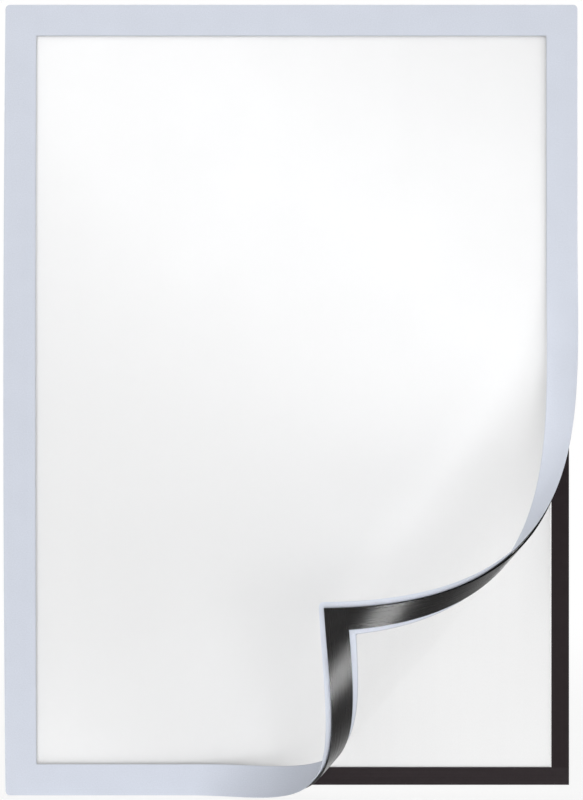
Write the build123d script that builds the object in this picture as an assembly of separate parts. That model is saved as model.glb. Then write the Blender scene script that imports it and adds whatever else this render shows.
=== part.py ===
"""Magnetic document frame: a film cover with magnet strips, hinged on a film base, one corner rolled open.

Millimetres. X points right as seen from the front, Z points up and the front faces -Y.
The wall plane is Y = 0 and the origin is its middle. Depths count from the wall towards the front.
"""
import math
import os

from build123d import *
from build123d.topology import SkipClean

# The sheet on show
sheet_width = 297.0
sheet_height = 420.0
sheet_thickness = 0.2
sheet_play = 0.5

# Base: tapes on the wall, a film on the tapes, magnet strips on the film
tape_width = 9.0
tape_thickness = 0.3
tape_margin = 0.5
film_thickness = 0.3
glue_line = 0.15
base_magnet_width = 10.0
base_magnet_thickness = 0.9

# Cover: magnet strips, a clear film and a border skin with a window
side_overhang = 4.5
end_overhang = 5.5
cover_magnet_width = 11.5
cover_magnet_thickness = 0.9
cover_magnet_margin = 2.75
border_width = 17.75
border_thickness = 0.2
corner_radius = 2.5
window_corner_radius = 1.0

# Film hinge folded around the left edge
hinge_leg = 8.0

# Lower right corner of the cover, rolled towards the front into a slender cone
roll_radius = 53.5
roll_length = 184.7
roll_apex_distance = 535.0
roll_heading = math.radians(34.2)
roll_steps = 20
roll_stretches = 30

# Sizes that follow from the sheet and its surround
opening_width = sheet_width + 2 * sheet_play
opening_height = sheet_height + 2 * sheet_play
base_width = opening_width + 2 * base_magnet_width
base_height = opening_height + 2 * base_magnet_width
cover_width = base_width + 2 * side_overhang
cover_height = base_height + 2 * end_overhang
window_width = cover_width - 2 * border_width
window_height = cover_height - 2 * border_width

# Depth of each layer's faces; a glue line, left empty, lies between a strip or a skin and its film
tape_front = tape_thickness
rear_film_front = tape_front + film_thickness
sheet_front = rear_film_front + sheet_thickness
base_magnet_back = rear_film_front + glue_line
base_magnet_front = base_magnet_back + base_magnet_thickness
cover_magnet_front = base_magnet_front + cover_magnet_thickness
window_film_back = cover_magnet_front + glue_line
window_film_front = window_film_back + film_thickness
border_back = window_film_front + glue_line
border_front = border_back + border_thickness

# The hinge film bends around the edge from the rear film's layer to the window film's layer
bend_outer = (window_film_front - tape_front) / 2
bend_inner = bend_outer - film_thickness
bend_depth = (window_film_front + tape_front) / 2
bend_x = bend_outer - cover_width / 2
leg_end_x = bend_x + hinge_leg

# The line where the roll starts, with the directions in the cover's plane along and across it
wallwards = Vector(0, 1, 0)
roll_along = Vector(math.sin(roll_heading), 0, math.cos(roll_heading))
roll_across = Vector(math.cos(roll_heading), 0, -math.sin(roll_heading))
roll_corner = Vector(cover_width / 2, 0, -cover_height / 2)
roll_start = roll_corner - roll_across * roll_length

# The cone touches the film's middle along that line, and its apex lies off the frame's lower left
film_middle = window_film_front - film_thickness / 2
roll_half_angle = math.asin(roll_radius / roll_apex_distance)
roll_apex = roll_start - roll_along * roll_apex_distance - wallwards * film_middle
roll_axis = roll_along * math.cos(roll_half_angle) - wallwards * math.sin(roll_half_angle)

# Seen from the apex the flat corner lies at a small spread from the start line; the roll turns it further
roll_tip_spread = math.atan2(roll_length, roll_apex_distance)
roll_tip_angle = roll_tip_spread / math.sin(roll_half_angle)
roll_step_angle = roll_tip_angle / roll_steps

# Cutters start between the apex and the cover, end past the cover and reach through all its layers
roll_near = roll_apex_distance / 2
roll_far = roll_apex_distance + cover_height
roll_cutter_margin = 5.0


def block(x_low, x_high, z_low, z_high):
    """A rectangle in the frame's plane, drawn by its limits."""
    middle = Pos((x_low + x_high) / 2, (z_low + z_high) / 2)
    return middle * Rectangle(x_high - x_low, z_high - z_low)


def flat_layer(outline, back, front):
    """A flat layer between two depths."""
    return extrude(Plane.XZ.offset(back) * outline, front - back)


def ring_strips(outer_width, outer_height, width, back, front):
    """Four strips around a rectangle: the top and bottom run full width and the sides butt on them."""
    x = outer_width / 2
    z = outer_height / 2
    return {
        "top": flat_layer(block(-x, x, z - width, z), back, front),
        "bottom": flat_layer(block(-x, x, -z, width - z), back, front),
        "left": flat_layer(block(-x, width - x, width - z, z - width), back, front),
        "right": flat_layer(block(x - width, x, width - z, z - width), back, front),
    }


def before_roll(outline):
    """The part of a cover outline that stays flat, up to the line where the roll starts."""
    size = 2 * cover_height
    past = roll_start + roll_across * (size / 2)
    rolled_side = Pos(past.X, past.Z) * Rot(0, 0, -math.degrees(roll_heading)) * Rectangle(size, size)
    return outline - rolled_side


def roll_radial(angle):
    """The direction straight away from the roll's axis, at an angle from the roll's start."""
    first = roll_along * math.sin(roll_half_angle) + wallwards * math.cos(roll_half_angle)
    return first * math.cos(angle) + roll_across * math.sin(angle)


def roll_plane(angle):
    """A plane from the apex: its x runs along the film at that angle and its y points out of the roll."""
    radial = roll_radial(angle)
    slope = roll_axis * math.cos(roll_half_angle) + radial * math.sin(roll_half_angle)
    outwards = radial * math.cos(roll_half_angle) - roll_axis * math.sin(roll_half_angle)
    return Plane(origin=roll_apex, x_dir=slope, z_dir=slope.cross(outwards))


def roll_section(angle, near, far, inner, outer):
    """A rectangle in that plane, between two distances from the apex and two offsets from the film."""
    middle = Pos((near + far) / 2, (inner + outer) / 2)
    return roll_plane(angle) * middle * Rectangle(far - near, outer - inner)


def roll_angles():
    """Angles of the sections that a cutter runs through, one step past the roll at both ends."""
    return [roll_step_angle * step for step in range(-1, roll_steps + 2)]


def inside_right(inset):
    """All of the roll that lies left of a line parallel to the cover's right edge."""
    reach = cover_width / 2 - inset - roll_apex.X
    sections = []
    for angle in roll_angles():
        far = reach / math.sin(roll_heading + angle * math.sin(roll_half_angle))
        sections.append(roll_section(angle, roll_near, far, -roll_cutter_margin, roll_cutter_margin))
    return loft(sections)


def inside_bottom(inset):
    """All of the roll that lies above a line parallel to the cover's bottom edge."""
    reach = inset - cover_height / 2 - roll_apex.Z
    sections = []
    for angle in roll_angles():
        near = reach / math.cos(roll_heading + angle * math.sin(roll_half_angle))
        sections.append(roll_section(angle, near, roll_far, -roll_cutter_margin, roll_cutter_margin))
    return loft(sections)


def rolled_shell(back, front):
    """A cone wall in short stretches that continues a flat layer past the roll's start, wider than it."""
    inner = film_middle - front
    outer = film_middle - back
    stretch = (roll_tip_angle + roll_step_angle / 2) / roll_stretches
    wall = []
    for count in range(roll_stretches):
        section = roll_section(count * stretch, roll_near, roll_far, inner, outer)
        wall.append(revolve(section, Axis(roll_apex, -roll_axis), math.degrees(stretch)))
    return wall[0].fuse(*wall[1:])


def tip_waste():
    """What rounding the rolled corner takes away, cut straight through the layers at the tip."""
    at_tip = roll_plane(roll_tip_angle)
    onwards = roll_radial(roll_tip_angle + math.pi / 2)
    bearing = roll_heading + roll_tip_spread
    right = at_tip.x_dir * math.sin(bearing) + onwards * math.cos(bearing)
    tip = roll_apex + at_tip.x_dir * math.hypot(roll_apex_distance, roll_length)
    # In this plane x runs along the bottom edge to the corner and y down the right edge to it
    plane = Plane(origin=tip - at_tip.y_dir * roll_cutter_margin, x_dir=right, z_dir=at_tip.y_dir)
    square = Rectangle(2 * corner_radius, 2 * corner_radius)
    kept = Pos(-corner_radius, -corner_radius) * Circle(corner_radius)
    return extrude(plane * (square - kept), 2 * roll_cutter_margin)


# Base
tape_ring_width = base_width - 2 * tape_margin
tape_ring_height = base_height - 2 * tape_margin
adhesive = ring_strips(tape_ring_width, tape_ring_height, tape_width, 0, tape_front)
base_magnet = ring_strips(base_width, base_height, base_magnet_width, base_magnet_back, base_magnet_front)
rear_outline = block(leg_end_x, base_width / 2, -base_height / 2, base_height / 2)
rear_film = flat_layer(rear_outline, tape_front, rear_film_front)
sheet_outline = Pos(0, -sheet_play) * Rectangle(sheet_width, sheet_height)
insert_sheet = flat_layer(sheet_outline, rear_film_front, sheet_front)

# Hinge
bend = Circle(bend_outer) - Circle(bend_inner)
bend_half = bend & block(-bend_outer, 0, -bend_outer, bend_outer)
front_leg = block(0, hinge_leg, -bend_outer, -bend_inner)
rear_leg = block(0, hinge_leg, bend_inner, bend_outer)
hinge_profile = Pos(bend_x, -bend_depth) * (bend_half + front_leg + rear_leg)
hinge_film = extrude(Plane.XY.offset(-base_height / 2) * hinge_profile, base_height)

# Cover outlines, each in the frame's plane
cover_x = (bend_x + cover_width / 2) / 2
cover_outline = Pos(cover_x, 0) * RectangleRounded(cover_width / 2 - bend_x, cover_height, corner_radius)
window_outline = RectangleRounded(window_width, window_height, window_corner_radius)
leg_outline = block(bend_x, leg_end_x, -base_height / 2, base_height / 2)
film_outline = cover_outline - leg_outline
border_outline = cover_outline - window_outline

# Lines that bound the rolled pieces, counted inwards from the cover's right and bottom edges
magnet_inner = cover_magnet_margin + cover_magnet_width
right_of_edge = inside_right(0)
right_of_magnet = inside_right(cover_magnet_margin)
right_of_magnet_inner = inside_right(magnet_inner)
right_of_window = inside_right(border_width)
above_edge = inside_bottom(0)
above_magnet = inside_bottom(cover_magnet_margin)
above_magnet_inner = inside_bottom(magnet_inner)
above_window = inside_bottom(border_width)

# The seams between a rolled wall's stretches are kept, so that each face is a short piece of the cone
with SkipClean():
    # Cover film and border
    film_flat = flat_layer(before_roll(film_outline), window_film_back, window_film_front)
    film_roll = rolled_shell(window_film_back, window_film_front) & right_of_edge & above_edge
    window_film = film_flat + (film_roll - tip_waste())
    border_flat = flat_layer(before_roll(border_outline), border_back, border_front)
    border_roll = rolled_shell(border_back, border_front) & right_of_edge & above_edge
    cover_border = border_flat + (border_roll - (right_of_window & above_window) - tip_waste())

    # Cover magnets
    magnet_ring_width = cover_width - 2 * cover_magnet_margin
    magnet_ring_height = cover_height - 2 * cover_magnet_margin
    cover_magnet = ring_strips(
        magnet_ring_width, magnet_ring_height, cover_magnet_width, base_magnet_front, cover_magnet_front
    )
    magnet_x = magnet_ring_width / 2
    magnet_z = magnet_ring_height / 2
    magnet_roll = rolled_shell(base_magnet_front, cover_magnet_front) & right_of_magnet
    bottom_outline = block(-magnet_x, magnet_x, -magnet_z, cover_magnet_width - magnet_z)
    bottom_flat = flat_layer(before_roll(bottom_outline), base_magnet_front, cover_magnet_front)
    cover_magnet["bottom"] = bottom_flat + ((magnet_roll & above_magnet) - above_magnet_inner)
    right_outline = block(
        magnet_x - cover_magnet_width, magnet_x, cover_magnet_width - magnet_z, magnet_z - cover_magnet_width
    )
    right_flat = flat_layer(before_roll(right_outline), base_magnet_front, cover_magnet_front)
    cover_magnet["right"] = right_flat + ((magnet_roll & above_magnet_inner) - right_of_magnet_inner)

nodes = {
    "rear_film": rear_film,
    "insert_sheet": insert_sheet,
    "hinge_film": hinge_film,
    "window_film": window_film,
    "cover_border": cover_border,
}
for side in ("top", "bottom", "left", "right"):
    nodes["adhesive_" + side] = adhesive[side]
    nodes["base_magnet_" + side] = base_magnet[side]
    nodes["cover_magnet_" + side] = cover_magnet[side]

os.makedirs("parts", exist_ok=True)
for name, shape in nodes.items():
    export_step(shape.solid(), "parts/" + name + ".step")
    print(name, len(shape.solids()), round(shape.volume, 1))
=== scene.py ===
# %% [markdown]
# A magnetic photo frame for a wall. Its base is a film with magnet strips and wall tapes. Its cover
# is a clear film with a silver border, which swings on a film hinge and holds to the base by strips
# of its own. The pieces could be drawn freely, but then they would drift away from the CAD part. So
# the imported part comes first, and every piece below takes its place and its thickness from it.

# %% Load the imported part
import math

import bmesh
import bpy
from mathutils import Matrix, Vector


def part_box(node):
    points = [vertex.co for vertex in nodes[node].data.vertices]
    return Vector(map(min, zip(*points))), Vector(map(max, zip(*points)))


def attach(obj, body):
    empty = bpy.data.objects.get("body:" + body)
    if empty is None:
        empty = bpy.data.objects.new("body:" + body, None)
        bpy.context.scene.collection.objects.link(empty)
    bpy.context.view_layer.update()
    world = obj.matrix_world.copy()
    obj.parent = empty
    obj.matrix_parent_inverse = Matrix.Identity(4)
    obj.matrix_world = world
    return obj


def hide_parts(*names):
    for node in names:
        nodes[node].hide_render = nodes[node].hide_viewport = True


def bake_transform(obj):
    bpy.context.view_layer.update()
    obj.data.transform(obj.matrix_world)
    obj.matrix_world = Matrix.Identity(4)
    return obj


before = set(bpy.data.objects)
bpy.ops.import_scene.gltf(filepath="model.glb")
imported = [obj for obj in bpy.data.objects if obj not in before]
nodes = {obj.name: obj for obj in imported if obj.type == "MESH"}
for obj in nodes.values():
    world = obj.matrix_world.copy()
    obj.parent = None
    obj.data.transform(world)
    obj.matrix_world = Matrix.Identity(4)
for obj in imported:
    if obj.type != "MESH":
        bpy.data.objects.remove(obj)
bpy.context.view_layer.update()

print("nodes in the frame:", len(nodes))

# %% [markdown]
# The cover is a stack of thin layers, so depths matter more than anything else here. They could be
# typed again, but a typed copy falls out of step when the part changes, so they are read from the
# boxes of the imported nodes. Only what a box can't tell is written down, in metres: the thickness and
# width of the border and the rounding of its corners here, and the roll of the corner further down.

# %% Sizes read from the frame
border_low, border_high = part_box("cover_border")
hinge_low, hinge_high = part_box("hinge_film")
strip_low, strip_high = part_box("cover_magnet_top")
rear_low, rear_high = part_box("rear_film")

half_width = border_high.x
half_height = border_high.z
hinge_edge = border_low.x
strip_width = strip_high.z - strip_low.z
strip_back = strip_high.y
strip_front = strip_low.y
film_thickness = rear_high.y - rear_low.y
film_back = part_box("window_film")[1].y
film_front = film_back - film_thickness
border_back = border_high.y

border_thickness = 0.0002
border_width = 0.01775
corner_radius = 0.0025
window_corner_radius = 0.001
window_half_width = half_width - border_width
window_half_height = half_height - border_width
print("cover", round(2 * half_width, 4), "by", round(2 * half_height, 4), "m")
print("cover strips", round(strip_width, 4), "m wide")

# %% [markdown]
# The photograph looks straight at the cover and its edges stay parallel, so the camera stands on the
# axis through the middle of the cover and needs no shift. For the flat cover any distance would do,
# with a lens to match. The rolled corner settles it: it looks larger than the flat border by as much
# as it is nearer. The lens then follows from the height of the cover in the picture.

# %% Camera
image_height_px = 800
cover_height_px = 790.2
sensor_mm = 36.0
camera_distance = 0.826

camera_data = bpy.data.cameras.new("camera")
camera_data.sensor_width = sensor_mm
view_height = 2 * half_height * image_height_px / cover_height_px
camera_data.lens = sensor_mm * camera_distance / view_height
camera = bpy.data.objects.new("camera", camera_data)
camera.location = (0, film_front - camera_distance, 0)
camera.rotation_euler = (math.radians(90), 0, 0)
bpy.context.scene.collection.objects.link(camera)
bpy.context.scene.camera = camera
bpy.context.scene.view_settings.view_transform = "Standard"
print("lens", round(camera_data.lens, 1), "mm")

# %% [markdown]
# The world, the floor and every finish are built from nodes, with the same few moves each time. Every
# node could be made and linked line by line. These helpers say it in one line instead and keep the
# cells below short: one fills a socket, and the others add a node, a sum or a change of range.

# %% Helpers for node trees
def feed(tree, value, socket):
    """Sets a socket to a fixed value, or links another socket to it."""
    if isinstance(value, bpy.types.NodeSocket):
        tree.links.new(value, socket)
    else:
        socket.default_value = value


def add_node(tree, kind, inputs, **settings):
    """A new node with its settings made and its inputs filled, by name or by number."""
    node = tree.nodes.new(kind)
    for setting, value in settings.items():
        setattr(node, setting, value)
    for name, value in inputs.items():
        feed(tree, value, node.inputs[name])
    return node


def sum_up(tree, operation, *values):
    """A Math node on sockets or numbers."""
    return add_node(tree, "ShaderNodeMath", dict(enumerate(values)), operation=operation).outputs[0]


def mapped(tree, value, start, end, low, high, step="LINEAR"):
    """Turns the range from start to end into low to high, and holds it there at both ends."""
    inputs = {"Value": value, "From Min": start, "From Max": end, "To Min": low, "To Max": high}
    return add_node(tree, "ShaderNodeMapRange", inputs, interpolation_type=step).outputs[0]


helpers = (feed, add_node, sum_up, mapped)
print("helpers:", ", ".join(helper.__name__ for helper in helpers))

# %% [markdown]
# The studio is a white room. One white world of full strength would show that room, but it would also
# flood the frame with light from all sides and leave no shading. So two backgrounds are mixed by the
# kind of ray: rays that look at the room see plain white, and rays that carry light get a dim fill.

# %% World
fill_strength = 0.17
white = (1, 1, 1, 1)


def start_tree(owner):
    """Gives a world or a material an empty node tree."""
    owner.use_nodes = True
    owner.node_tree.nodes.clear()
    return owner.node_tree


def looking(tree):
    """1 for a ray that looks, straight, by a mirror or through glass, and 0 for one that lights."""
    rays = tree.nodes.new("ShaderNodeLightPath").outputs
    mirrored = sum_up(tree, "MAXIMUM", rays["Is Camera Ray"], rays["Is Glossy Ray"])
    return sum_up(tree, "MAXIMUM", mirrored, rays["Is Transmission Ray"])


def mixed(tree, share, first, second):
    """Two shaders in one, with a share of the second."""
    inputs = {0: share, 1: first.outputs[0], 2: second.outputs[0]}
    return add_node(tree, "ShaderNodeMixShader", inputs).outputs[0]


world = bpy.data.worlds.new("studio")
bpy.context.scene.world = world
sky = start_tree(world)
dim_fill = add_node(sky, "ShaderNodeBackground", {"Color": white, "Strength": fill_strength})
white_room = add_node(sky, "ShaderNodeBackground", {"Color": white, "Strength": 1.0})
add_node(sky, "ShaderNodeOutputWorld", {"Surface": mixed(sky, looking(sky), dim_fill, white_room)})
print("world fill", fill_strength)

# %% [markdown]
# Softboxes do the rest. Point lamps would be simpler, but glossy film and rubber show the shape of
# what lights them. A long softbox hangs high on the right behind the camera and leans, so that the
# film shows it as a bright diagonal. One hangs above, one on the right lights the sheet under the
# roll, and one stands behind, for the back. One in the lower left of the room leans like the first
# and shows in that corner of the window.

# %% Softboxes of the room
diagonal_lean_deg = -30.6


def softbox(name, place, target, width, height, watts, lean_deg=0):
    """A rectangular lamp at a place, aimed at a target and turned about its own axis."""
    data = bpy.data.lights.new(name, "AREA")
    data.shape = "RECTANGLE"
    data.size = width
    data.size_y = height
    data.energy = watts
    lamp = bpy.data.objects.new(name, data)
    aim = (Vector(target) - Vector(place)).to_track_quat("-Z", "Y")
    turn = Matrix.Rotation(math.radians(lean_deg), 4, "Z")
    lamp.matrix_world = Matrix.Translation(place) @ aim.to_matrix().to_4x4() @ turn
    lamp.visible_camera = False
    bpy.context.scene.collection.objects.link(lamp)
    print(name, watts, "W")
    return lamp


softbox("high softbox", place=(0.2, -2.4, 0.336), target=(0.2, 0.0, 0.336),
        width=2.3, height=0.72, watts=19.2, lean_deg=diagonal_lean_deg)
softbox("top softbox", place=(-0.8, -2.4, 1.7), target=(0.0, 0.0, 0.0),
        width=1.1, height=1.1, watts=15.0)
softbox("side softbox", place=(1.8, -1.2, -0.1), target=(0.1, 0.0, -0.1),
        width=1.0, height=1.0, watts=8.5)
softbox("rear softbox", place=(-0.6, 1.7, 0.8), target=(0.0, 0.0, 0.0),
        width=1.6, height=1.6, watts=24.0)
corner_box = softbox("corner softbox", place=(-0.387, -1.2, -0.655), target=(-0.387, 0.0, -0.655),
                     width=0.8, height=0.35, watts=2.3, lean_deg=diagonal_lean_deg)

# %% [markdown]
# Three more softboxes serve the rolled corner. Two shine up through the floor, as through a
# translucent shooting table: a broad one lifts the underside of the roll, and a small one gives the
# black strips, which face that way, their highlight. The third stands close to the right fold of the
# border, as a white card held there would. The small two would brighten the pale pieces beside theirs
# as well, so light linking keeps each to its own. The lamps that stand below the floor are left out
# of multiple importance sampling, because the floor, which throws no shadow, would hide them from
# rays that find them by chance.

# %% Softboxes of the rolled corner
roll_underside = (0.04, -0.11, -0.12)
right_fold = (0.145, -0.047, -0.057)


def light_only(lamp, label):
    """Keeps a lamp's light to the objects of a new collection, which is returned."""
    receivers = bpy.data.collections.new(label)
    lamp.light_linking.receiver_collection = receivers
    return receivers


table_box = softbox("table softbox", place=(0.355, -0.605, -0.8), target=roll_underside,
                    width=1.0, height=1.0, watts=2.2)
strip_box = softbox("strip softbox", place=(0.355, -0.605, -0.79), target=roll_underside,
                    width=0.34, height=0.34, watts=14.0)
fold_box = softbox("fold softbox", place=(0.066, -0.04, 0.03), target=right_fold,
                   width=0.06, height=0.06, watts=0.034)
lit_strips = light_only(strip_box, "lit by the strip softbox")
lit_border = light_only(fold_box, "lit by the fold softbox")
for lamp in (corner_box, table_box, strip_box):
    lamp.data.cycles.use_multiple_importance_sampling = False
    print(lamp.name, "shines through the floor")

# %% [markdown]
# The frame stands on a pale floor, which takes its shadow. A floor of one colour would end in a line
# against the white room. So away from the frame it turns into plain white for rays that look at it,
# and no horizon shows. It throws no shadow itself, which is what makes it a translucent table for
# the lamps below.

# %% Floor
floor_drop = 0.0005
floor_half = 4.0
floor_plain_radius = 0.22
floor_white_radius = 0.75
floor_glow = 0.85
floor_colour = (0.93, 0.93, 0.93, 1)

floor_z = -half_height - floor_drop
floor_signs = [(-1, -1), (1, -1), (1, 1), (-1, 1)]
floor_points = [(x * floor_half, y * floor_half, floor_z) for x, y in floor_signs]
floor_mesh = bpy.data.meshes.new("floor")
floor_mesh.from_pydata(floor_points, [], [(0, 1, 2, 3)])
floor = bpy.data.objects.new("floor", floor_mesh)
bpy.context.scene.collection.objects.link(floor)

floor_material = bpy.data.materials.new("pale floor")
tree = start_tree(floor_material)
place = tree.nodes.new("ShaderNodeTexCoord").outputs["Object"]
away = add_node(tree, "ShaderNodeVectorMath", {0: place}, operation="LENGTH").outputs["Value"]
fade = mapped(tree, away, floor_plain_radius, floor_white_radius, floor_glow, 1.0, "SMOOTHSTEP")
shown_white = sum_up(tree, "MULTIPLY", fade, looking(tree))
matt = add_node(tree, "ShaderNodeBsdfDiffuse", {"Color": floor_colour})
glow = add_node(tree, "ShaderNodeEmission", {"Strength": 1.0})
add_node(tree, "ShaderNodeOutputMaterial", {"Surface": mixed(tree, shown_white, matt, glow)})
floor_mesh.materials.append(floor_material)
floor.visible_shadow = False
print("floor at", round(floor_z, 4))

# %% [markdown]
# The finishes share a few more helpers. Colours could be typed as the linear values that a shader
# takes, but nobody reads those by eye. So they are written as they look, from 0 to 255, and turned
# into linear ones. Noise gives the grain of a surface, and a bump raises it.

# %% Helpers for colour and grain
noise_low = 0.25
noise_high = 0.75


def linear(red, green, blue):
    """A colour as it looks on an sRGB screen, as the linear colour that a shader takes."""
    def channel(value):
        share = value / 255
        return share / 12.92 if share <= 0.04045 else ((share + 0.055) / 1.055) ** 2.4

    return (channel(red), channel(green), channel(blue), 1.0)


def start_material(name):
    """A material with one Principled shader, returned with its tree."""
    material = bpy.data.materials.new(name)
    tree = start_tree(material)
    shader = tree.nodes.new("ShaderNodeBsdfPrincipled")
    add_node(tree, "ShaderNodeOutputMaterial", {"Surface": shader.outputs[0]})
    return material, tree, shader


def stretched(tree, vector, scale):
    """A texture vector multiplied per axis."""
    inputs = {0: vector, 1: scale}
    return add_node(tree, "ShaderNodeVectorMath", inputs, operation="MULTIPLY").outputs[0]


def noise(tree, vector, detail, low, high):
    """Noise over a vector, spread from low to high."""
    cloud = add_node(tree, "ShaderNodeTexNoise", {"Vector": vector, "Scale": 1.0, "Detail": detail})
    return mapped(tree, cloud.outputs["Fac"], noise_low, noise_high, low, high)


def tinted(tree, colour, factor):
    """A colour multiplied by a factor that varies over the surface."""
    inputs = {0: colour[:3], "Scale": factor}
    return add_node(tree, "ShaderNodeVectorMath", inputs, operation="SCALE").outputs[0]


def bump(tree, shader, height, strength, distance):
    """Raises the surface by a height, without moving its mesh."""
    inputs = {"Height": height, "Strength": strength, "Distance": distance}
    feed(tree, add_node(tree, "ShaderNodeBump", inputs).outputs[0], shader.inputs["Normal"])


print("a mid grey of 128 is", round(linear(128, 128, 128)[0], 3), "linear")

# %% [markdown]
# Grain has to lie still on its piece and keep its size. Generated coordinates would stretch it with
# each piece's box. So a rolled layer reads its place from its own flat map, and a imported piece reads
# its place in the frame, both in metres. A mesh can also carry numbers for its finish, such as which
# side a face is on.

# %% Helpers for places
def sheet_vector(tree):
    """The place on the flat layer, before it was rolled: along it and across it, in metres."""
    return add_node(tree, "ShaderNodeUVMap", {}, uv_map="sheet").outputs[0]


def object_vector(tree):
    """The place in the frame, in metres."""
    return tree.nodes.new("ShaderNodeTexCoord").outputs["Object"]


def attribute(tree, name):
    """A number that the mesh carries."""
    return add_node(tree, "ShaderNodeAttribute", {}, attribute_name=name).outputs["Fac"]


helpers = (sheet_vector, object_vector, attribute)
print("helpers:", ", ".join(helper.__name__ for helper in helpers))

# %% [markdown]
# The border is a silver film with a fine grain, like a metallic paint under a matt lacquer. It could
# be a metal shader alone, but that would only mirror the white room. A barely metallic shader with
# grain in its colour and its height stays pale blue-grey from the front and darkens where it turns
# away. A thin dark line around the window marks the cut edge and paints the shade along it. The back
# of the film, which only the rolled corner shows, is a little paler, partly its own colour and partly
# painted light, and has a stronger line of painted edge shade. The mesh says which faces are the
# back, in an attribute.

# %% Silver film
silver_colour = linear(206, 211, 222)
grain_size = 0.0007
mottle_size = 0.02
# The dark line around the window is painted shade along the cut edge, darker still on the back. The
# back's paleness is partly its own colour and partly painted light.
edge_shade_width = 0.0006
front_edge_shade_tone = 0.84
back_edge_shade_tone = 0.66
back_paleness_and_light = 0.1


def painted_edge_shade_and_back_light(tree, place):
    """Painted shade in a line around the window, and a paler back, partly painted light."""
    parts = add_node(tree, "ShaderNodeSeparateXYZ", {0: place}).outputs
    beside = sum_up(tree, "SUBTRACT", sum_up(tree, "ABSOLUTE", parts["X"]), window_half_width)
    above = sum_up(tree, "SUBTRACT", sum_up(tree, "ABSOLUTE", parts["Y"]), window_half_height)
    from_window = sum_up(tree, "MAXIMUM", beside, above)
    back = attribute(tree, "back side")
    # Painted edge shade for the line, and a lift for the back that is partly painted light.
    edge_shade_step = back_edge_shade_tone - front_edge_shade_tone
    edge_shade_tone = sum_up(tree, "MULTIPLY_ADD", back, edge_shade_step, front_edge_shade_tone)
    pale = sum_up(tree, "MULTIPLY_ADD", back, back_paleness_and_light, 1.0)
    return mapped(tree, from_window, 0.0, edge_shade_width, edge_shade_tone, pale)


def silver_film(name, with_edge_shade):
    """Pale silver with a fine grain, and painted shade at the window's cut edge where asked."""
    material, tree, shader = start_material(name)
    place = sheet_vector(tree)
    grains = stretched(tree, place, (1 / grain_size, 1 / grain_size, 1))
    mottles = stretched(tree, place, (1 / mottle_size, 1 / mottle_size, 1))
    grain = noise(tree, grains, detail=2.0, low=0.955, high=1.045)
    mottle = noise(tree, mottles, detail=1.0, low=0.985, high=1.015)
    tone = sum_up(tree, "MULTIPLY", grain, mottle)
    if with_edge_shade:
        tone = sum_up(tree, "MULTIPLY", tone, painted_edge_shade_and_back_light(tree, place))
    feed(tree, tinted(tree, silver_colour, tone), shader.inputs["Base Color"])
    feed(tree, noise(tree, grains, detail=1.0, low=0.42, high=0.52), shader.inputs["Roughness"])
    shader.inputs["Metallic"].default_value = 0.06
    shader.inputs["Specular IOR Level"].default_value = 0.2
    bump(tree, shader, grain, strength=0.25, distance=0.00005)
    return material


border_silver = silver_film("silver border film", True)
hinge_silver = silver_film("silver hinge film", False)
print("made", border_silver.name, "and", hinge_silver.name)

# %% [markdown]
# The window is clear film with a satin gloss. A solid glass shader would keep lamp light off the
# sheet behind it, so the film is mostly a Transparent shader with a little mirror mixed in, and more
# of it at a slant. A Fresnel node would turn the film's inner face into a full mirror beyond 42
# degrees, because nothing here bends the light, so the share comes from Facing, which is the same on
# both faces. On the rolled corner the photograph shows no gloss at all, as the curve spreads it thin.
# So the share fades out along the roll, by an attribute that says how far each point is turned.

# %% Clear film
film_tint = (0.97, 0.98, 1.0)
haze_scale = (18, 18, 18)
veil_scale = (40, 40, 40)
front_gloss = 0.04
slant_gloss = 0.02
slant_power = 5.0
clearing_start = 0.2
clearing_end = 0.4
cleared_share = 0.04


def steepness(tree, power):
    """0 on a surface seen straight on, rising to 1 at a slant, the later the higher the power."""
    facing = tree.nodes.new("ShaderNodeLayerWeight").outputs["Facing"]
    return sum_up(tree, "POWER", facing, power)


def clear_film(name, place_of):
    """A see-through film whose gloss grows at a slant and fades out along the roll."""
    material = bpy.data.materials.new(name)
    tree = start_tree(material)
    place = place_of(tree)
    haze = noise(tree, stretched(tree, place, haze_scale), detail=2.0, low=0.28, high=0.33)
    veil = noise(tree, stretched(tree, place, veil_scale), detail=1.0, low=0.97, high=1.0)
    mirror = add_node(tree, "ShaderNodeBsdfPrincipled", {
        "Base Color": tinted(tree, film_tint, veil),
        "Roughness": haze,
        "Metallic": 1.0,
    })
    through = tree.nodes.new("ShaderNodeBsdfTransparent")
    gloss = sum_up(tree, "MULTIPLY_ADD", steepness(tree, slant_power), slant_gloss, front_gloss)
    turned = attribute(tree, "turn")
    clearing = mapped(tree, turned, clearing_start, clearing_end, 1.0, cleared_share, "SMOOTHSTEP")
    share = sum_up(tree, "MULTIPLY", gloss, clearing)
    add_node(tree, "ShaderNodeOutputMaterial", {"Surface": mixed(tree, share, through, mirror)})
    return material


window_clear = clear_film("clear window film", sheet_vector)
rear_clear = clear_film("clear rear film", object_vector)
nodes["rear_film"].material_slots[0].material = rear_clear
print("made", window_clear.name, "and", rear_clear.name)

# %% [markdown]
# The cover's strips are magnetic rubber, calendered smooth, so they shine and carry fine streaks along
# their length. A picture of streaks could be laid on, but it would repeat or blur. Noise stretched
# along the strip does neither. It reads the flat layer's own map, so the streaks follow the strip
# around the roll. Seen at a slant the rubber shines more than the plain shader does, so a coat comes
# in there, by Facing.

# %% Glossy magnet strip
glossy_black = linear(7, 6, 6)
streak_length = 0.12
streak_width = 0.00025
coat_power = 3.0


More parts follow.
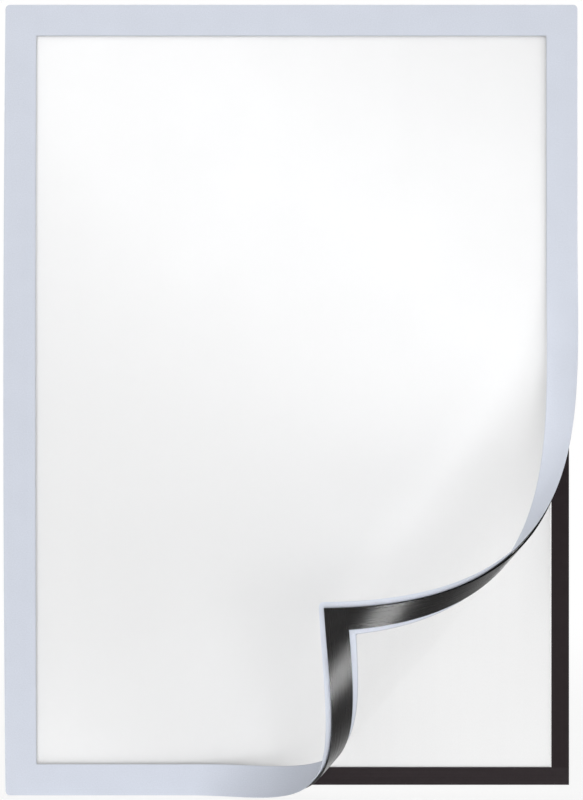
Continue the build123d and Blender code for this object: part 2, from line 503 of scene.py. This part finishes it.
def glossy_strip(name):
    """Glossy black rubber with streaks along its length."""
    material, tree, shader = start_material(name)
    streaks = stretched(tree, sheet_vector(tree), (1 / streak_length, 1 / streak_width, 1))
    tone = noise(tree, streaks, detail=2.0, low=0.7, high=1.3)
    feed(tree, tinted(tree, glossy_black, tone), shader.inputs["Base Color"])
    feed(tree, noise(tree, streaks, detail=2.0, low=0.22, high=0.32), shader.inputs["Roughness"])
    feed(tree, steepness(tree, coat_power), shader.inputs["Coat Weight"])
    shader.inputs["Specular IOR Level"].default_value = 0.11
    shader.inputs["Coat Roughness"].default_value = 0.28
    bump(tree, shader, tone, strength=0.08, distance=0.00003)
    return material


cover_black = glossy_strip("glossy magnet strip")
print("made", cover_black.name)

# %% [markdown]
# The base's strips are the same rubber with a matt face, a warm brown-black. One material could serve
# all four. But strips that run across and strips that run up take the light a little differently, so
# each direction has its own lines, and its own colour as painted light and shade: the upright strips
# are painted darker than the ones across.

# %% Matt magnet strip
# The two browns are a lighter and a darker copy of one colour, painted light and shade.
across_lit_brown = linear(44, 38, 40)
upright_shaded_brown = linear(38, 31, 33)
across_lines = (8, 1, 1800)
upright_lines = (1800, 1, 8)
speckle_scale = (2200, 2200, 2200)
dull_patch_scale = (300, 300, 300)


def matt_strip(name, colour, line_scale):
    """Matt rubber with a fine speckle and faint lines along its length."""
    material, tree, shader = start_material(name)
    place = object_vector(tree)
    lines = noise(tree, stretched(tree, place, line_scale), detail=3.0, low=0.88, high=1.12)
    speckle = noise(tree, stretched(tree, place, speckle_scale), detail=2.0, low=0.9, high=1.1)
    dullness = noise(tree, stretched(tree, place, dull_patch_scale), detail=2.0, low=0.6, high=0.72)
    tone = sum_up(tree, "MULTIPLY", lines, speckle)
    feed(tree, tinted(tree, colour, tone), shader.inputs["Base Color"])
    feed(tree, dullness, shader.inputs["Roughness"])
    shader.inputs["Specular IOR Level"].default_value = 0.1
    bump(tree, shader, speckle, strength=0.2, distance=0.00004)
    return material


# The strips across get the lighter copy and the upright strips the darker one, as painted light and
# shade.
base_lit_across = matt_strip("matt magnet strip across lit", across_lit_brown, across_lines)
base_shaded_upright = matt_strip("matt magnet strip upright shaded", upright_shaded_brown, upright_lines)
for side in ("top", "bottom"):
    nodes["base_magnet_" + side].material_slots[0].material = base_lit_across
for side in ("left", "right"):
    nodes["base_magnet_" + side].material_slots[0].material = base_shaded_upright
print("matt strips:", base_lit_across.name, "and", base_shaded_upright.name)

# %% [markdown]
# The sheet is blank paper. One flat white would do from afar, but paper is never that: it has a faint
# grain in the direction it was made and a soft fibre texture. Two layers of noise give them, stretched
# up the sheet and kept far weaker than they look in a close-up.

# %% Paper
paper_white = linear(241, 241, 241)
run_scale = (160, 1, 1.5)
fibre_scale = (1500, 1, 900)

paper_material, tree, shader = start_material("blank paper")
paper_place = object_vector(tree)
run = noise(tree, stretched(tree, paper_place, run_scale), detail=2.0, low=0.994, high=1.006)
fibre = noise(tree, stretched(tree, paper_place, fibre_scale), detail=3.0, low=0.985, high=1.015)
paper_tone = sum_up(tree, "MULTIPLY", run, fibre)
feed(tree, tinted(tree, paper_white, paper_tone), shader.inputs["Base Color"])
shader.inputs["Roughness"].default_value = 0.85
shader.inputs["Specular IOR Level"].default_value = 0.2
bump(tree, shader, fibre, strength=0.2, distance=0.00003)
nodes["insert_sheet"].material_slots[0].material = paper_material
print("made", paper_material.name)

# %% [markdown]
# The tapes on the back are pale foam with a dull, slightly uneven face. The cells of the foam could be
# cut into the mesh, but they are finer than anyone will look for behind a frame. So the tapes keep
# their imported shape, and noise gives the cells in colour and height.

# %% Wall tape
tape_colour = linear(228, 226, 218)
foam_scale = (900, 900, 900)
tape_patch_scale = (200, 200, 200)

tape_material, tree, shader = start_material("pale wall tape")
tape_place = object_vector(tree)
cells = noise(tree, stretched(tree, tape_place, foam_scale), detail=3.0, low=0.93, high=1.05)
dullness = noise(tree, stretched(tree, tape_place, tape_patch_scale), detail=2.0, low=0.5, high=0.7)
feed(tree, tinted(tree, tape_colour, cells), shader.inputs["Base Color"])
feed(tree, dullness, shader.inputs["Roughness"])
bump(tree, shader, cells, strength=0.4, distance=0.00006)
for side in ("top", "bottom", "left", "right"):
    nodes["adhesive_" + side].material_slots[0].material = tape_material
print("made", tape_material.name)

# %% [markdown]
# The cover is film, strips and border, laid flat on each other and then rolled together at the lower
# right corner. Film bends but doesn't stretch, so the roll is a slender cone, as a peeled corner
# always is. It could be modelled by eye, but then lengths would change. These values say where the
# roll starts, how it heads and how tight it is, and the rest follows from them.

# %% The roll
roll_radius = 0.0535
roll_length = 0.1847
roll_apex_distance = 0.535
roll_heading = math.radians(34.2)

film_middle = (film_back + film_front) / 2
roll_along = Vector((math.sin(roll_heading), 0, math.cos(roll_heading)))
roll_across = Vector((math.cos(roll_heading), 0, -math.sin(roll_heading)))
roll_start = Vector((half_width, film_middle, -half_height)) - roll_across * roll_length
roll_apex = roll_start - roll_along * roll_apex_distance
tip_spread = math.atan2(roll_length, roll_apex_distance)
tip_turn = tip_spread * roll_apex_distance / roll_radius
print("the corner is rolled over by", round(math.degrees(tip_turn), 1), "degrees")

# %% [markdown]
# Seven pieces take part in the bending. Each mesh could be bent by its own sums in Python, but one
# Geometry Nodes tree does it for all of them, and its named inputs say which sizes the bending needs.
# A few helpers do sums in the tree, on numbers and on vectors.

# %% Tree for a rolled layer
roll_tree = bpy.data.node_groups.new("rolled cover layer", "GeometryNodeTree")
interface = roll_tree.interface
interface.new_socket("Geometry", in_out="OUTPUT", socket_type="NodeSocketGeometry")
socket_kinds = {
    "Flat Layer": "NodeSocketGeometry",
    "Start": "NodeSocketVector",
    "Heading": "NodeSocketFloat",
    "Radius": "NodeSocketFloat",
    "Apex Distance": "NodeSocketFloat",
    "Hinge Edge": "NodeSocketFloat",
    "Half Height": "NodeSocketFloat",
    "Bow": "NodeSocketFloat",
    "Bow Reach": "NodeSocketFloat",
    "Finish": "NodeSocketMaterial",
}
socket_ids = {}
for label, kind in socket_kinds.items():
    socket_ids[label] = interface.new_socket(label, in_out="INPUT", socket_type=kind).identifier
given = roll_tree.nodes.new("NodeGroupInput").outputs


def numbers(operation, *values):
    """A sum of the roll's tree on numbers."""
    return sum_up(roll_tree, operation, *values)


def vectors(operation, *values):
    """A sum of the roll's tree on vectors."""
    inputs = dict(enumerate(values))
    node = add_node(roll_tree, "ShaderNodeVectorMath", inputs, operation=operation)
    return node.outputs["Value" if operation in ("DOT_PRODUCT", "LENGTH") else "Vector"]


def scaled(vector, factor):
    """A vector of the roll's tree, multiplied by a number."""
    inputs = {0: vector, "Scale": factor}
    return add_node(roll_tree, "ShaderNodeVectorMath", inputs, operation="SCALE").outputs["Vector"]


def joined(x, y, z):
    """A vector of the roll's tree, from three numbers."""
    return add_node(roll_tree, "ShaderNodeCombineXYZ", {"X": x, "Y": y, "Z": z}).outputs[0]


print("the tree takes", len(socket_ids), "inputs")

# %% [markdown]
# The edge at the hinge isn't quite straight: it bows out a little in the middle, as thin film does
# when it is folded. The flat drawings could be cut to that curve, but then every layer would need it.
# In the tree it is one step, full at the edge and fading inwards.

# %% Bow of the hinge edge
place = roll_tree.nodes.new("GeometryNodeInputPosition").outputs[0]
axes = add_node(roll_tree, "ShaderNodeSeparateXYZ", {0: place}).outputs
share = numbers("DIVIDE", axes["Z"], given["Half Height"])
bulge = numbers("SUBTRACT", 1.0, numbers("MULTIPLY", share, share))
inwards = numbers("SUBTRACT", axes["X"], given["Hinge Edge"])
near_hinge = numbers("SUBTRACT", 1.0, numbers("DIVIDE", inwards, given["Bow Reach"]))
near_hinge = numbers("MINIMUM", numbers("MAXIMUM", near_hinge, 0.0), 1.0)
out_by = numbers("MULTIPLY", numbers("MULTIPLY", bulge, near_hinge), given["Bow"])
bow = add_node(roll_tree, "GeometryNodeSetPosition", {
    "Geometry": given["Flat Layer"],
    "Offset": joined(numbers("MULTIPLY", out_by, -1.0), 0.0, 0.0),
})
print("bow step has", len(roll_tree.nodes), "nodes so far")

# %% [markdown]
# A Simple Deform modifier could curl the corner, but as a cylinder and only along one axis. Seen from
# the apex of the cone, a point of the flat film has a distance and a small angle. The tree lays the
# point on the line where the roll starts, at the same distance, and turns it about the cone's axis
# until the film has used up that angle. So no length in the film changes.

# %% Cone of the corner
sine = numbers("SINE", given["Heading"])
cosine = numbers("COSINE", given["Heading"])
along = joined(sine, 0.0, cosine)
across = joined(cosine, 0.0, numbers("MULTIPLY", sine, -1.0))
apex = vectors("SUBTRACT", given["Start"], scaled(along, given["Apex Distance"]))
slimness = numbers("DIVIDE", given["Radius"], given["Apex Distance"])
half_angle = numbers("ARCSINE", slimness)
lift = joined(0.0, numbers("MULTIPLY", slimness, -1.0), 0.0)
axis = vectors("ADD", scaled(along, numbers("COSINE", half_angle)), lift)

from_apex = vectors("SUBTRACT", place, apex)
ahead = vectors("DOT_PRODUCT", from_apex, along)
aside = vectors("DOT_PRODUCT", from_apex, across)
depth = vectors("DOT_PRODUCT", from_apex, (0.0, 1.0, 0.0))
spread = numbers("ARCTAN2", aside, ahead)
distance = vectors("LENGTH", joined(ahead, aside, 0.0))
on_start = vectors("ADD", apex, scaled(along, distance))
on_start = vectors("ADD", on_start, joined(0.0, depth, 0.0))
turned = add_node(roll_tree, "ShaderNodeVectorRotate", {
    "Vector": on_start,
    "Center": apex,
    "Axis": axis,
    "Angle": numbers("MULTIPLY", numbers("DIVIDE", spread, slimness), -1.0),
}, rotation_type="AXIS_ANGLE")

roll = add_node(roll_tree, "GeometryNodeSetPosition", {
    "Geometry": bow.outputs[0],
    "Selection": numbers("GREATER_THAN", spread, 0.0),
    "Position": turned.outputs[0],
})
real = add_node(roll_tree, "GeometryNodeRealizeInstances", {0: roll.outputs[0]})
finish = add_node(roll_tree, "GeometryNodeSetMaterial", {
    "Geometry": real.outputs[0],
    "Material": given["Finish"],
})
add_node(roll_tree, "NodeGroupOutput", {0: finish.outputs[0]})
print("the tree has", len(roll_tree.nodes), "nodes")

# %% [markdown]
# Each layer is drawn flat first, as a thin closed slab from faces in the plane of the cover. It is
# then cut along lines of the cone, because a mesh can only bend at its edges. An even grid would give
# edges too, but most of them in the wrong direction.

# %% Flat slabs
weld_distance = 1e-6
cut_distance = 1e-7
roll_cuts = 96
cuts_before_roll = 2
bow_cuts = 16


def flat_slab(faces, back, front):
    """A closed slab from flat faces given as x and z, between two depths."""
    bm = bmesh.new()
    for corners in faces:
        bm.faces.new([bm.verts.new((x, back, z)) for x, z in corners])
    bmesh.ops.remove_doubles(bm, verts=bm.verts, dist=weld_distance)
    made = bmesh.ops.extrude_face_region(bm, geom=list(bm.faces), use_keep_orig=True)
    raised = [item for item in made["geom"] if isinstance(item, bmesh.types.BMVert)]
    bmesh.ops.translate(bm, verts=raised, vec=(0, front - back, 0))
    bmesh.ops.recalc_face_normals(bm, faces=bm.faces)
    return bm


def cut(bm, point, normal):
    """Cuts all faces along a plane and keeps both sides."""
    everything = list(bm.verts) + list(bm.edges) + list(bm.faces)
    bmesh.ops.bisect_plane(bm, geom=everything, dist=cut_distance, plane_co=point, plane_no=normal)


def cut_for_bending(bm):
    """Cuts along the lines of the cone and across the height of the hinge edge."""
    for step in range(-cuts_before_roll, roll_cuts + 1):
        angle = tip_spread * step / roll_cuts
        cut(bm, roll_apex, roll_across * math.cos(angle) - roll_along * math.sin(angle))
    for step in range(1, bow_cuts):
        cut(bm, (0, 0, half_height * (2 * step / bow_cuts - 1)), (0, 0, 1))


print("a slab is cut", roll_cuts + cuts_before_roll + 1, "times for the roll")

# %% [markdown]
# A slab carries what its finish needs to know. Its flat place becomes a map named sheet, which grain
# and streaks follow around the roll. One attribute tells the back from the front, and another how far
# the roll will turn each point. A material could work these out from the rolled shape, but they are
# plainest to read while the slab is still flat.

# %% Marks on a slab
back_facing = 0.5
sharp_angle = math.radians(30)


def map_sheet(bm, upright):
    """Stores the flat place as the map named sheet, along a strip first."""
    layer = bm.loops.layers.uv.new("sheet")
    for slab_face in bm.faces:
        for loop in slab_face.loops:
            x, _, z = loop.vert.co
            loop[layer].uv = (z, x) if upright else (x, z)


def mark_back(bm):
    """Stores which faces are the back of the layer."""
    layer = bm.faces.layers.float.new("back side")
    for slab_face in bm.faces:
        slab_face[layer] = 1.0 if slab_face.normal.y > back_facing else 0.0


def mark_turn(bm):
    """Stores how far the roll will turn each point, from 0 on the flat part to 1 at the corner."""
    layer = bm.verts.layers.float.new("turn")
    for vert in bm.verts:
        from_apex = vert.co - roll_apex
        spread = math.atan2(from_apex.dot(roll_across), from_apex.dot(roll_along))
        vert[layer] = max(0.0, spread) / tip_spread


def smooth_to_rims(bm):
    """Shades a slab smooth and keeps its rims crisp."""
    for slab_face in bm.faces:
        slab_face.smooth = True
    for edge in bm.edges:
        edge.smooth = edge.calc_face_angle(0.0) < sharp_angle


print("edges stay crisp from", round(math.degrees(sharp_angle)), "degrees")

# %% [markdown]
# The slab then goes through the tree. A live modifier would keep it adjustable, but the finished piece
# must not depend on one. So the evaluated result is stored as a plain mesh, and the flat slab goes.

# %% Rolled layers
bow_depth = 0.0013
bow_reach = 2 * border_width
roll_settings = {
    "Start": roll_start,
    "Heading": roll_heading,
    "Radius": roll_radius,
    "Apex Distance": roll_apex_distance,
    "Hinge Edge": hinge_edge,
    "Half Height": half_height,
    "Bow": bow_depth,
    "Bow Reach": bow_reach,
}


def cover_layer(name, bm, finish_material, upright=False):
    """Sends a flat slab through the tree and returns the rolled piece as a plain mesh."""
    cut_for_bending(bm)
    map_sheet(bm, upright)
    mark_back(bm)
    mark_turn(bm)
    smooth_to_rims(bm)
    mesh = bpy.data.meshes.new(name + " flat")
    bm.to_mesh(mesh)
    bm.free()
    flat = bpy.data.objects.new(name + " flat", mesh)
    bpy.context.scene.collection.objects.link(flat)
    modifier = flat.modifiers.new("roll", "NODES")
    modifier.node_group = roll_tree
    for label, value in roll_settings.items():
        modifier[socket_ids[label]] = value
    modifier[socket_ids["Finish"]] = finish_material
    depsgraph = bpy.context.evaluated_depsgraph_get()
    rolled = bpy.data.meshes.new_from_object(flat.evaluated_get(depsgraph), depsgraph=depsgraph)
    rolled.name = name
    bpy.data.objects.remove(flat)
    piece = bpy.data.objects.new(name, rolled)
    bpy.context.scene.collection.objects.link(piece)
    print(name, "has", len(rolled.polygons), "faces")
    return piece


print("the hinge edge bows by", round(1000 * bow_depth, 2), "mm")

# %% [markdown]
# The border is one skin with a window cut out. A Boolean could cut the window, but it leaves faces of
# any shape. So the flat drawing is a ring of four-sided faces between two rounded rectangles with as
# many points each. On the left it reaches over the bend of the hinge, which is why the hinge doesn't
# show from the front.

# %% Border
corner_steps = 6


def rounded_loop(left, right, low, high, radius):
    """A rounded rectangle as points, anticlockwise from the lower right corner."""
    points = []
    centres = ((right - radius, low + radius, -90), (right - radius, high - radius, 0),
               (left + radius, high - radius, 90), (left + radius, low + radius, 180))
    for x, z, first in centres:
        for step in range(corner_steps + 1):
            angle = math.radians(first + 90 * step / corner_steps)
            points.append((x + radius * math.cos(angle), z + radius * math.sin(angle)))
    return points


outer = rounded_loop(hinge_low.x, half_width, -half_height, half_height, corner_radius)
inner = rounded_loop(-window_half_width, window_half_width, -window_half_height, window_half_height,
                     window_corner_radius)
ring = []
for count in range(len(outer)):
    following = (count + 1) % len(outer)
    ring.append([outer[count], outer[following], inner[following], inner[count]])
border_slab = flat_slab(ring, border_back, border_back - border_thickness)
border = cover_layer("silver_border", border_slab, border_silver)
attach(border, "cover")
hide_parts("cover_border")
lit_border.objects.link(border)

# %% [markdown]
# The window film lies below the border and carries everything else on the cover. It stops where the
# hinge bends, and leaves out the strip that the front leg of the hinge takes up. That notch could be
# cut out of a whole sheet, but four more points in its outline do the same.

# %% Window film
whole_film = rounded_loop(hinge_edge, half_width, -half_height, half_height, corner_radius)
corner_points = corner_steps + 1
upper_left_done = 3 * corner_points
film_outline = whole_film[:upper_left_done]
film_outline += [(hinge_edge, hinge_high.z), (hinge_high.x, hinge_high.z)]
film_outline += [(hinge_high.x, hinge_low.z), (hinge_edge, hinge_low.z)]
film_outline += whole_film[upper_left_done:]
window = cover_layer("window_clear", flat_slab([film_outline], film_back, film_front), window_clear)
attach(window, "cover")
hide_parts("window_film")

# %% [markdown]
# The four cover strips sit a little inside the border. They could be one ring, but real strips are cut
# from a roll of tape: the top and bottom ones run the full width and the sides butt on them. The lower
# right pair rolls with the film.

# %% Cover strips
ring_x = strip_high.x
ring_z = strip_high.z
inner_x = ring_x - strip_width
inner_z = ring_z - strip_width
strip_boxes = {
    "top": (-ring_x, ring_x, inner_z, ring_z),
    "bottom": (-ring_x, ring_x, -ring_z, -inner_z),
    "left": (-ring_x, -inner_x, -inner_z, inner_z),
    "right": (inner_x, ring_x, -inner_z, inner_z),
}
for side, (left, right, low, high) in strip_boxes.items():
    rectangle = [(left, low), (right, low), (right, high), (left, high)]
    slab = flat_slab([rectangle], strip_back, strip_front)
    strip = cover_layer("cover_strip_" + side, slab, cover_black, side in ("left", "right"))
    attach(strip, "cover")
    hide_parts("cover_magnet_" + side)
    lit_strips.objects.link(strip)

# %% [markdown]
# The hinge is a strip of silver film folded in half around the left edge. Two flaps that meet at the
# fold would gape when the cover opens. So it is one mesh that follows the base at its rear leg and the
# cover at its front leg, and turns in between. It is drawn as a folded outline, repeated up the edge.

# %% Hinge film
bend_steps = 16
bend_outer = (hinge_high.y - hinge_low.y) / 2
bend_inner = bend_outer - film_thickness
bend_x = hinge_low.x + bend_outer
bend_y = (hinge_high.y + hinge_low.y) / 2


def half_turn(radius):
    """Points from the rear leg around the left to the front leg."""
    angles = [math.radians(90 + 180 * step / bend_steps) for step in range(bend_steps + 1)]
    return [(bend_x + radius * math.cos(angle), bend_y + radius * math.sin(angle)) for angle in angles]


outside = [(hinge_high.x, hinge_high.y)] + half_turn(bend_outer) + [(hinge_high.x, hinge_low.y)]
inside = [(hinge_high.x, hinge_high.y - film_thickness)] + half_turn(bend_inner)
inside += [(hinge_high.x, hinge_low.y + film_thickness)]
profile = outside + inside[::-1]
hinge_bm = bmesh.new()
rings = []
for step in range(bow_cuts + 1):
    z = hinge_low.z + (hinge_high.z - hinge_low.z) * step / bow_cuts
    rings.append([hinge_bm.verts.new((x, y, z)) for x, y in profile])
for lower, upper in zip(rings, rings[1:]):
    for count in range(len(profile)):
        following = (count + 1) % len(profile)
        hinge_bm.faces.new([lower[count], lower[following], upper[following], upper[count]])
hinge_bm.faces.new(rings[0])
hinge_bm.faces.new(rings[-1])
bmesh.ops.recalc_face_normals(hinge_bm, faces=hinge_bm.faces)
hinge = cover_layer("silver_hinge", hinge_bm, hinge_silver, upright=True)
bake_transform(hinge)
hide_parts("hinge_film")
